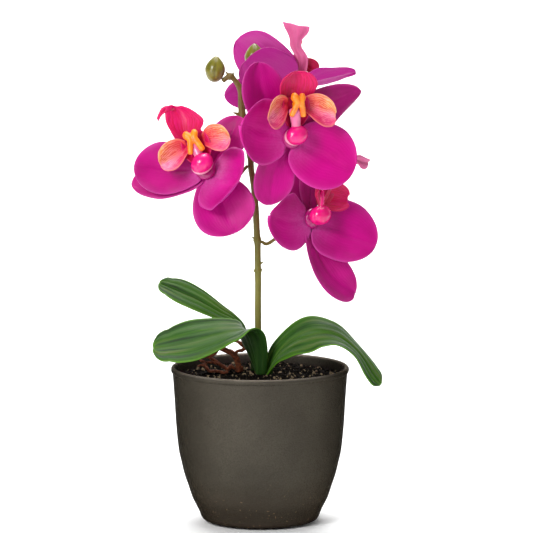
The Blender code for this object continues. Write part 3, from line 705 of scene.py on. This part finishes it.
def fused(node, rods, look):
    """Fuse overlapping rods into one softened skin."""
    build = Build()
    for rod in rods:
        build.add(*rod)
    obj = linked(node + "_rough", build.mesh(node + "_rough"))
    fuse = obj.modifiers.new("fuse", "REMESH")
    fuse.mode, fuse.voxel_size, fuse.use_smooth_shade = "VOXEL", CALLUS_VOXEL * MM, True
    soften = obj.modifiers.new("soften", "SMOOTH")
    soften.factor, soften.iterations = 0.5, CALLUS_SMOOTHING
    mesh = bpy.data.meshes.new_from_object(obj.evaluated_get(bpy.context.evaluated_depsgraph_get()))
    mesh.name = node + "_fine"
    bpy.data.objects.remove(obj)
    mesh.polygons.foreach_set("use_smooth", [True] * len(mesh.polygons))
    hand_over(node, mesh, look)


def half_circle(rings):
    return [(math.sin(math.pi * i / rings), -math.cos(math.pi * i / rings)) for i in range(rings + 1)]


def ellipsoid(centre, right, up, forward, radii, rings=14, sides=22):
    points, faces, _ = lathe(half_circle(rings), sides)
    return [centre + right * x * radii[0] + forward * y * radii[2] + up * z * radii[1]
            for x, y, z in points], faces


THROAT_REACH = 24


def make_tepals(flower, spec, looks):
    """Two petals and three sepals; the throat attribute fades out from the centre of a petal."""
    for number, (part, (reach, width, layer, shape)) in enumerate(spec["tepals"].items()):
        grid = flower.tepal(reach, width, layer, len(flower.name) * 5 + number, **shape)
        points, faces, uvs, marks = sheet(grid, *TEPAL_SHEET)
        near = np.clip(1 - np.linalg.norm(points - flower.centre, axis=1) / THROAT_REACH, 0, 1)
        throat = near ** 1.6 * (1 - np.array(marks["back"])) if layer == FRONT else 0
        # the tone picks a copy of the magenta painted lit, plain or in shade
        look = looks["tepal_" + spec.get("tone", {}).get(part, "mid")]
        Build().add(points, faces, uvs, **marks, throat=throat).piece(
            f"{flower.name}_{part}", look, "tepal")


def make_hood(flower, spec, look):
    """The lip's hood or ribbon; an open flower's throat lines the gap between its side lobes."""
    hood = Build()
    for number, rows in enumerate(spec["hood"]):
        cup, folds = (4.5, 0.35) if rows in (HOOD, HOOD_POINTED) else (1.2, 0.9)
        points, faces, uvs, marks = sheet(skin(flower, rows, cup, 3 + number, wave=0.9, folds=folds),
                                          *LIP_SHEET)
        hood.add(points, faces, uvs, **marks, reach=[b for _, b in uvs])
    if spec.get("open"):
        low = spec.get("drop", 0)
        rows = [(r, u - low, q, w - low, f) for r, u, q, w, f in THROAT]
        points, faces, uvs, marks = sheet(skin(flower, rows, 4, 6, wave=0.6), *TEPAL_SHEET)
        hood.add(points, faces, uvs, **marks, reach=0.42)
    hood.piece(flower.name + "_lip_hood", look, "lip")


def make_lobes(flower, spec, look):
    """The two side lobes, mirrored from one outline."""
    for side, word in ((-1, "left"), (1, "right")):
        rows = EAR_INWARD if spec.get("slim") and side > 0 else EAR
        if spec.get("small"):
            rows = [(r * 0.62, 11 + (u - 17) * 0.5, q * 0.62, 11 + (w - 17) * 0.5, f * 0.8)
                    for r, u, q, w, f in EAR]
        wide, drop = side * spec.get("ears", (0.92, 1))[side > 0], spec.get("drop", 0)
        rows = [(wide * r, u - drop, wide * q, w - drop, f) for r, u, q, w, f in rows]
        grid = skin(flower, rows, 3.6, 9 + side, wave=0.9, folds=0.4)
        points, faces, uvs, marks = sheet(grid if side < 0 else grid[:, ::-1], *LIP_SHEET)
        if side > 0:
            uvs = [(1 - a, b) for a, b in uvs]
        lift, reach = zip(*uvs)
        Build().add(points, faces, uvs, **marks, lift=lift, reach=reach).piece(
            f"{flower.name}_lip_lobe_{word}", look, "lip")


def make_callus(flower, spec, look):
    """The callus, smaller and higher up in a flower whose lip is turned away."""
    size, drop = (1, spec.get("drop", 0)) if spec.get("open") else (0.45, -4)
    rods = [tube([(*flower.at(r * size, 18 + (u - 18) * size - drop, f), radius * size)
                  for r, u, f, radius in rod], 4, 14)[:2] for rod in CALLUS_RODS]
    fused(flower.name + "_callus", rods, look)


def make_column(flower, spec, look):
    """Ball-like cap in its collar, on a neck and a low base; a slim one is pink throughout."""
    neck_radii, neck, collar = (3, 2.9, 3.2, 3.8), NECK, COLLAR
    if spec.get("slim"):
        neck_radii, neck, collar = (1.8, 1.7, 1.6, 1.2), CAP, CAP
    tip, level = turned(flower.up, flower.right, -14)
    column = Build()
    column.add(*ellipsoid(flower.at(0.2, 2.5, 9.8), level, tip, flower.facing, (7.2, 6, 5.6)), reach=CAP)
    column.add(*ellipsoid(flower.at(-0.2, 2, 8.3), level, tip, flower.facing, (7.1, 5.8, 4.7)),
               reach=collar)
    rod = [(*flower.at(0.2 - k * 0.5, 5 + 4 * k, 9.4 + 0.5 * k), r) for k, r in enumerate(neck_radii)]
    column.add(*tube(rod, 4, 16, 7, 0.06)[:2], reach=neck)
    column.add(*ellipsoid(flower.at(0, 0.5, 3), flower.right, flower.up, flower.facing, (6.4, 6.4, 3)),
               reach=BASE)
    column.piece(flower.name + "_column", look, "column")


def make_stalk(flower, spec, look):
    """Stalk from the spike to the back of the flower; its table follows the flower's place."""
    shift = flower.centre - vec(*spec["place"])
    rod = [(*(vec(x, y, z) + shift * (i / 3)), r) for i, (x, y, z, r) in enumerate(spec["stalk"])]
    rod += [(*(flower.centre - flower.facing * 2.6), 1.4), (*(flower.centre - flower.facing * 1.1), 1.9)]
    Build().add(*tube(rod, 8, 16, 5, 0.08)).piece(flower.name + "_stalk", look, "spike")


def make_flower(name, spec, looks):
    flower = Flower(name, *spec["turn"])
    make_tepals(flower, spec, looks)
    make_hood(flower, spec, looks["hood_crimson" if spec.get("open") else "hood_pale"])
    make_lobes(flower, spec, looks["lobe" if spec.get("open") else "hood_crimson"])
    make_callus(flower, spec, looks["callus"])
    make_column(flower, spec, looks["column"])
    make_stalk(flower, spec, looks["stalk"])


# ---- leaves ----
# (x, y, height over the compost, half-width, width direction x, y, z) from foot to tip
LEAVES = {
    "leaf_left": (
        (-1, -8, 0.6, 4.5, 0.8, -0.6, 0), (-1.6, -9, 10, 6.5, 0.85, -0.5, 0),
        (-3.6, -10.5, 19, 9.5, 0.8, -0.6, 0), (-8, -12, 28.3, 13.5, 0.58, -0.81, 0),
        (-17, -13, 28.2, 14, 0.15, -0.93, -0.36), (-28, -13, 25.6, 15, 0, -0.8, -0.6),
        (-42, -12.5, 22, 16, 0, -0.72, -0.7), (-56, -11, 19, 12.5, 0, -0.72, -0.7),
        (-65.8, -10, 17.6, 1.5, 0, -0.72, -0.7)),
    "leaf_right": (
        (4.8, -6, 1.5, 4.5, 0.4, -0.92, 0), (8, -8, 8.8, 6.5, 0.3, -0.8, -0.5),
        (12.6, -10, 15.6, 9.5, 0.2, -0.78, -0.6), (21.5, -14, 23, 13, 0.05, -0.75, -0.65),
        (30, -16.5, 26.6, 14.5, 0, -0.75, -0.66), (39, -18, 27.8, 14, 0, -0.85, -0.5),
        (49, -19, 25.2, 13, 0, -0.94, -0.34), (60, -19.5, 16, 10.5, -0.15, -0.97, -0.15),
        (69, -20, 3, 8.5, -0.38, -0.88, -0.27), (74, -20, -3.4, 3, -0.42, -0.86, -0.3)),
    "leaf_back": (
        (-4, 9.4, 0.6, 4.5, 0.5, -0.85, 0), (-5, 10, 12, 5, 0.5, -0.85, -0.1),
        (-9.5, 11.5, 25, 5, 0.3, -0.85, -0.4), (-17, 12.5, 32, 5, 0.1, -0.8, -0.6),
        (-25, 13, 36, 6.5, 0, -0.76, -0.65), (-38, 13.5, 43.4, 9.5, 0, -0.75, -0.66),
        (-49, 14, 48.8, 10, 0, -0.75, -0.66), (-57, 14.5, 52.3, 7.5, 0, -0.75, -0.66),
        (-62.4, 15, 54.6, 1.5, 0, -0.75, -0.66)),
}


def make_leaf(name, stations, look, seed, cols=27, steps=8):
    """Strap leaf: a keeled blade, folded at its foot, opening along its length to a round tip."""
    path = smooth_path(stations, steps)
    tangents = np.gradient(path[:, :3], axis=0)
    halfway = len(path) // 2
    upper = 1 if np.cross(path[halfway, 4:7], tangents[halfway])[2] > 0 else -1
    grid = np.zeros((len(path), cols, 3))
    last = len(path) - 1 - steps
    for i, row in enumerate(path):
        u = i / (len(path) - 1)
        tangent = unit(tangents[i])
        side = unit(row[4:7] - tangent * np.dot(row[4:7], tangent))
        face = upper * np.cross(side, tangent)
        fold = math.radians(27 * (1 - u) ** 6 + 3)
        half = row[3]
        if i > last:
            half = path[last, 3] * max(0.05, 1 - ((i - last) / steps) ** 2.2) ** 0.5
        for j in range(cols):
            v = upper * (-1 + 2 * j / (cols - 1))
            ripple = (0.8 * wobble(u * 2.6, v * 1.1, 0, seed)
                      + 0.8 * wobble(u * 5, v * 2, 5, seed) * v * v
                      + 0.22 * math.cos(v * 14 + seed) * min(1, u * 3))
            keel = 0.9 * math.exp(-(v / 0.08) ** 2)
            grid[i, j] = (row[:3] + vec(0, 0, GROUND) + half * side * v * math.cos(fold)
                          + face * (half * abs(v) ** 1.4 * math.sin(fold) + ripple - keel))
    points, faces, uvs, marks = sheet(grid, *LEAF_SHEET)
    marks["edge"] = [max(abs(2 * a - 1) ** 34, b ** 80) for a, b in uvs]
    # mask of the midrib, where a highlight is painted paler
    rib = [math.exp(-((2 * a - 1) / 0.045) ** 2) for a, _ in uvs]
    Build().add(points, faces, uvs, **marks, rib=rib).piece(name, look, "leaf")


# ---- stems, buds, roots ----
SPIKE_RADIUS = 2.05
# (x, y, height over the compost, share of the spike's radius)
SPIKE = (
    (-1.3, 2, 0.4, 1), (-1.3, 1.2, 8, 1), (-1.2, 0, 27, 1), (-1.2, 0, 60, 1), (-1.3, 0, 64, 1.25),
    (-1.3, 0, 67, 1), (-1.5, 0, 80, 1), (-1.6, 0, 83, 1.25), (-1.9, 0, 87, 1), (-2.5, 0, 100.6, 1),
    (-3.7, 0, 115.4, 0.95), (-5.5, 0, 127.8, 0.95), (-6.1, 0, 135.2, 0.95), (-10.4, 0, 155, 1.3),
    (-10.9, 0, 160, 1.2), (-11.6, 0, 169.6, 0.9), (-12.1, 0, 176.4, 0.95), (-15.9, 0, 182.4, 0.8),
    (-18.2, 0, 184, 1.25), (-20.4, 0, 183.2, 0.8), (-22.4, 0, 181.7, 0.75))
# (x, y, height over the compost, length, lean in degrees, radius at the foot)
BRACTS = (
    (-0.4, -0.8, 63, 3.6, 35, 0.9), (-0.2, -0.6, 68.5, 3, 60, 0.8), (-3, -0.5, 84, 2.6, -60, 0.8),
    (-12.2, -1, 156, 4.2, -40, 1.2), (-9.2, -1.4, 158, 4, 30, 1.2), (-13.4, -0.6, 161, 3.6, -70, 1),
    (-19, -0.4, 185, 3.4, -45, 0.9), (-16.6, -0.6, 184.4, 2.6, 10, 0.8))


def make_spike(look):
    """The flower spike, thicker at its joints, with a small pointed bract by each of them."""
    rod = [(x, y, GROUND + z, SPIKE_RADIUS * share) for x, y, z, share in SPIKE]
    build = Build().add(*tube(rod, 6, 20, 2, 0.07))
    for x, y, z, length, lean, girth in BRACTS:
        a = math.radians(lean)
        out = vec(math.sin(a), -0.25, math.cos(a))
        base = vec(x, y, GROUND + z)
        tip = [(*(base + out * length * t), girth * (1 - t) ** 0.8 + 0.12) for t in (0, 0.3, 0.65, 1)]
        build.add(*tube(tip, 4, 10, 4, 0.1))
    build.piece("flower_spike", look, "spike")


def make_crown(look):
    """Three leaning sheaths that the leaves and the spike grow out of."""
    low, high = box_mm("crown")
    x, y, _ = (low + high) / 2
    build = Build()
    for k, (reach, lean) in enumerate(((8, 0), (6.4, 14), (5.2, -16))):
        a = math.radians(lean)
        rod = [(x + math.sin(a) * reach * t, y + 0.4 * k * t, low[2] + reach * t, r)
               for t, r in ((0, 2.9), (0.4, 2.8), (0.75, 2), (1, 1))]
        build.add(*tube(rod, 5, 18, k, 0.12))
    build.piece("crown", look, "leaf")


def make_bud(name, lean, look):
    """Bud of closed sepals: three shallow seams meet in its pointed tip."""
    low, high = box_mm(name)
    centre, half = (low + high) / 2, (high - low) / 2
    up, right = turned(vec(0, 0, 1), vec(1, 0, 0), lean)
    rings, sides = 34, 48
    points, faces, uvs = lathe(half_circle(rings), sides)
    placed, seams, blush = [], [], []
    for px, py, pz in points:
        angle = math.atan2(py, px)
        seam = max(0, math.cos(3 * (angle - 0.5))) ** 24 * min(1, (1 - abs(pz)) * 4 + 0.2)
        pinch = (1 - 0.34 * max(0, pz) ** 2) * (1 - 0.05 * seam)
        lump = 1 + 0.02 * wobble(px * 2, py * 2, pz * 2, 6)
        placed.append(centre + right * px * half[0] * pinch * lump
                      + vec(0, 1, 0) * py * half[1] * pinch * lump
                      + up * pz * half[2] * (1 + 0.05 * max(0, pz) ** 6))
        seams.append(seam)
        red = 0.9 * px - 0.9 * pz - 0.35 + 0.35 * wobble(px * 3, py * 3, pz * 3, 8)
        blush.append(min(1, max(0, red)))
    Build().add(placed, faces, uvs, seam=seams, blush=blush).piece(name, look, "bud")


# each root and its side root, as (x, y, height over the compost, radius) stations
ROOTS = {
    "root_long": (
        ((-11.5, 5.5, 3.2, 1.2), (-12, 6, 1.6, 1.5), (-13.8, 6, 1.2, 1.5), (-16, 6, 2.2, 1.1),
         (-18, 6, 3.4, 1.1), (-19.2, 6, 2, 1.3), (-20.6, 6, 2.2, 1.2), (-25, 6, 5, 1.1),
         (-29.5, 6, 8.2, 1), (-33.5, 6, 10.4, 0.6)),
        ((-26, 5, 5.2, 0.9), (-29.5, 4, 6.2, 0.8), (-33, 3, 6.8, 0.75), (-36.6, 3, 8.4, 0.45))),
    "root_short": (
        ((-20, -1, 1.2, 0.9), (-22.2, -2, 0.9, 1), (-25, -2, 1.5, 0.9), (-28, -2, 2, 1),
         (-31, -2, 2.1, 1), (-33, -2, 4, 0.9), (-35, -2, 5.6, 0.8), (-38.5, -2, 5, 0.5)),
        ((-32, -1, 2.6, 0.8), (-33.6, 0, 5.2, 0.8), (-35, 1, 7.4, 0.75), (-37.4, 1, 8.6, 0.45))),
    "root_arch": (
        ((-16.2, 2.6, 11.6, 1), (-13.5, 2.5, 13.6, 1), (-11, 2.3, 14.2, 1.2), (-9.4, 2.2, 16.4, 1.4),
         (-11.6, 2, 18.4, 1.3), (-14.6, 2, 20, 1.1), (-17.7, 2, 20.8, 1), (-19.6, 2, 19, 1.1),
         (-22.4, 2, 17.6, 1.3), (-25, 2, 16.4, 1.4), (-28.5, 2, 12, 1.1), (-32, 1, 10.4, 0.7),
         (-36, 0, 9.8, 0.4)),
        ((-24.5, 2, 16, 1.3), (-21, 2.2, 14, 1.7), (-17.4, 2.6, 12.2, 1.9), (-14.8, 3, 9.4, 1.9),
         (-13.4, 3.2, 6, 1.8), (-13, 3.4, 1, 1.7))),
}


def make_root(name, rods, look, seed):
    """A root and its side root, with small kinks."""
    build = Build()
    for k, rod in enumerate(rods):
        bent = []
        for i, (x, y, z, r) in enumerate(rod):
            bent.append((x + 0.5 * wobble(i * 1.7, k, 0, seed), y,
                         GROUND + z + 0.5 * wobble(i * 1.3, k, 4, seed), r))
        build.add(*tube(bent, 7, 12, seed + k, 0.28))
    build.piece(name, look, "root")


# ---- compost and pot ----
CRUMBS = 2600
CRUMB_SEED = 41


def make_compost(look):
    """Uneven surface on the compost plug, strewn with crumbs of bark and a few pale grains."""
    low, high = box_mm("compost")
    radius, top, base = high[0], high[2], low[2]
    draw = np.random.default_rng(CRUMB_SEED)
    rings, sides = 44, 110
    profile = [(0, base)] + [(radius * share, base + rise) for share, rise in
                             ((0.55, 0), (0.66, 1.2), (0.78, 18), (0.9, 40), (0.96, 60))]
    profile += [(radius * 0.995, top - 2.2)]
    profile += [(radius * (0.99 - 0.99 * k / rings), top - 0.9 * (1 - k / rings) ** 2)
                for k in range(rings)]
    points, faces, uvs = lathe(profile + [(0, top)], sides)
    shaped, tone = [], []
    for x, y, z in points:
        if z > top - 1.2:
            z += 0.9 * wobble(x * 0.5, y * 0.5, 0, 1) + 0.8 * wobble(x * 1.3, y * 1.3, 2, 2) - 0.5
        shaped.append((x, y, z))
        tone.append(0.35 + 0.2 * wobble(x * 0.8, y * 0.8, 5, 3))
    build = Build().add(shaped, faces, uvs, tone=tone)
    ball = bmesh.new()
    bmesh.ops.create_icosphere(ball, subdivisions=1, radius=1)
    chip = np.array([v.co[:] for v in ball.verts])
    chip_faces = [tuple(v.index for v in f.verts) for f in ball.faces]
    ball.free()
    for _ in range(CRUMBS):
        r, a = radius * 0.975 * math.sqrt(draw.random()), draw.random() * 2 * math.pi
        size = 0.35 + 1.1 * draw.random() ** 2.4
        stretch = vec(1, 0.55 + 0.45 * draw.random(), 0.4 + 0.5 * draw.random()) * size
        spin, _ = np.linalg.qr(draw.normal(size=(3, 3)))
        jag = 1 + 0.35 * (draw.random(len(chip))[:, None] - 0.5)
        x, y = r * math.cos(a), r * math.sin(a)
        z = top - 0.9 * (r / radius) ** 2 + 0.9 * wobble(x * 0.5, y * 0.5, 0, 1) + 0.2 * size - 0.3
        build.add((chip * jag * stretch) @ spin + vec(x, y, z), chip_faces, tone=draw.random())
    build.piece("compost", look, "compost", smooth=False)


# (share of the height, share of the way from the foot's radius to the rim's)
POT_SIDE = (
    (0.022, 0.1), (0.066, 0.185), (0.145, 0.366), (0.223, 0.488), (0.302, 0.61), (0.382, 0.698),
    (0.461, 0.776), (0.618, 0.849), (0.776, 0.893), (0.868, 0.922), (0.958, 0.952))
POT_FOOT_RADIUS = 34.5
POT_WALL = 2.9
POT_FLOOR = 4
# the rim is painted pale above this depth, over this fade, as a highlight, and dust lies below this height
POT_RIM_HIGHLIGHT_DEPTH, POT_RIM_HIGHLIGHT_FADE = 1.3, 1.1
POT_DUST_HEIGHT = 34


def make_pot(look):
    """Pot turned from one closed profile: rounded foot, full side, bead at the rim."""
    _, high = box_mm("pot")
    rim, top, foot = high[0], high[2], POT_FOOT_RADIUS
    bottom = [(0, 0.35), (foot * 0.55, 0.35), (foot * 0.86, 0.3), (foot * 0.92, 0.02), (foot - 0.6, 0),
              (foot + 0.5, 0.25), (foot + 1.2, 0.8)]
    side = [(foot + (rim - foot) * f, h * top) for h, f in POT_SIDE]
    outside = [tuple(row) for row in smooth_path(side, 7)]
    neck = outside[-1][0]
    bead = [(neck + 0.05, top - 3.7), (neck + 0.25, top - 3.4)]
    bead += [(rim - inward, top - down) for inward, down in
             ((0.2, 3), (0, 2.4), (0, 1.6), (0.12, 0.9), (0.45, 0.35), (0.9, 0.05), (1.4, 0),
              (2.1, 0.2), (2.7, 0.8), (3.1, 1.8))]
    inside = [(max(r - POT_WALL, 3), z) for r, z in reversed(outside) if POT_FLOOR + 1.5 < z < top - 4.5]
    inside += [(inside[-1][0] - 2.5, POT_FLOOR), (0, POT_FLOOR)]
    Build().add(*lathe(bottom + outside + bead + inside, 144)).piece("pot", look, "pot")


# ---- the whole object ----
LOOKS = {
    # painted light and shade: the tepal tones are copies of one magenta, the bright one painted lit and
    # the darkest one painted in shade
    "tepal_bright": tepal_look("tepal_bright",
                               (188, 0, 124), (170, 0, 108), (202, 80, 170), (166, 28, 126)),
    "tepal_mid": tepal_look("tepal_mid", (176, 0, 118), (152, 0, 98), (194, 84, 166), (164, 28, 124)),
    "tepal_dull": tepal_look("tepal_dull",
                             (156, 14, 104), (132, 10, 86), (184, 84, 150), (166, 30, 128)),
    "hood_crimson": hood_look("lip_hood_crimson",
                              (188, 2, 60), (128, 4, 40), (206, 14, 108), (160, 10, 54)),
    "hood_pale": hood_look("lip_hood_pale",
                           (198, 68, 126), (176, 8, 56), (214, 120, 164), (206, 96, 146)),
    "lobe": lobe_look(),
    "callus": callus_look(),
    "column": column_look(),
    "stalk": stem_look("stalk_green", (92, 84, 20), (98, 76, 22), 0.20, 0.06),
    "spike": stem_look("spike_green", (88, 88, 20), (84, 58, 18), 0.20, 0.025),
}
make_pot(pot_look())
make_compost(compost_look())
LEAF_LOOK = leaf_look()
for number, (leaf_name, leaf_rows) in enumerate(LEAVES.items()):
    make_leaf(leaf_name, leaf_rows, LEAF_LOOK, number + 1)
make_crown(LEAF_LOOK)
ROOT_LOOK = root_look()
for number, (root_name, root_rods) in enumerate(ROOTS.items()):
    make_root(root_name, root_rods, ROOT_LOOK, number + 3)
make_spike(LOOKS["spike"])
BUD_LOOK = bud_look()
make_bud("bud_left", 6, BUD_LOOK)
make_bud("bud_top", 0, BUD_LOOK)
BUD_TOP_STALK = (
    (4.5, 25.2, 174, 0.8), (0.8, 25.2, 177.5, 0.8), (-2.4, 25, 181.5, 0.8), (-3.4, 24.5, 185.3, 1))
Build().add(*tube([(x, y, GROUND + z, r) for x, y, z, r in BUD_TOP_STALK], 8, 14, 1, 0.08)).piece(
    "bud_top_stalk", LOOKS["stalk"], "spike")
for flower_name, flower_spec in FLOWERS.items():
    make_flower(flower_name, flower_spec, LOOKS)


# ---- floor, light, camera ----
def make_floor(columns=9):
    """Pale sweep: flat under the pot, curving up far behind it; measures in metres."""
    path = smooth_path([(-3.0, 0.0), (-1.0, 0.0), (0.6, 0.0), (1.2, 0.02), (1.7, 0.16), (2.05, 0.5),
                        (2.2, 1.0), (2.25, 3.0)], 6)
    points = [(x, y, z) for y, z in path for x in np.linspace(-4, 4, columns)]
    faces = [(k, k + 1, k + columns + 1, k + columns)
             for k in range((len(path) - 1) * columns) if (k + 1) % columns]
    mesh = bpy.data.meshes.new("studio_floor")
    mesh.from_pydata(points, [], faces)
    mesh.materials.append(floor_look())
    mesh.polygons.foreach_set("use_smooth", [True] * len(mesh.polygons))
    linked("studio_floor", mesh)


def area_light(name, place, target, size, power):
    """A rectangular lamp that looks at its target; metres and watts."""
    data = bpy.data.lights.new(name, "AREA")
    data.shape, data.size, data.size_y = "RECTANGLE", size[0], size[1]
    data.energy = power
    obj = linked(name, data)
    obj.location = place
    obj.rotation_euler = (Vector(target) - Vector(place)).to_track_quat("-Z", "Y").to_euler()


make_floor()
area_light("key", (-1.2, -1.8, 1.25), (0, 0, 0.16), (0.8, 0.8), 46)
area_light("fill", (1.5, -1.6, 0.9), (0, 0, 0.16), (1.2, 1.2), 3)
area_light("low_front", (-1.3, -1.75, 0.12), (0, 0, 0.1), (0.5, 0.7), 11)
area_light("top", (0.1, 0.1, 1.7), (0, 0, 0.1), (1.0, 1.0), 12)
area_light("backdrop", (0, 0.7, 2.4), (0, 2.1, 0.7), (2.0, 0.5), 90)

world = bpy.data.worlds.new("studio")
world.use_nodes = True
world.node_tree.nodes["Background"].inputs[0].default_value = (1, 1, 1, 1)
world.node_tree.nodes["Background"].inputs[1].default_value = 0.23
bpy.context.scene.world = world
bpy.context.scene.view_settings.view_transform = "Standard"

CAMERA_TILT = 0.13396
camera_data = bpy.data.cameras.new("camera")
camera_data.sensor_width = 36.0
camera_data.lens = 276.8
camera = linked("camera", camera_data)
camera.location = (0.004, -2.5, 0.4943)
camera.rotation_euler = (math.pi / 2 - CAMERA_TILT, 0, 0)
bpy.context.scene.camera = camera
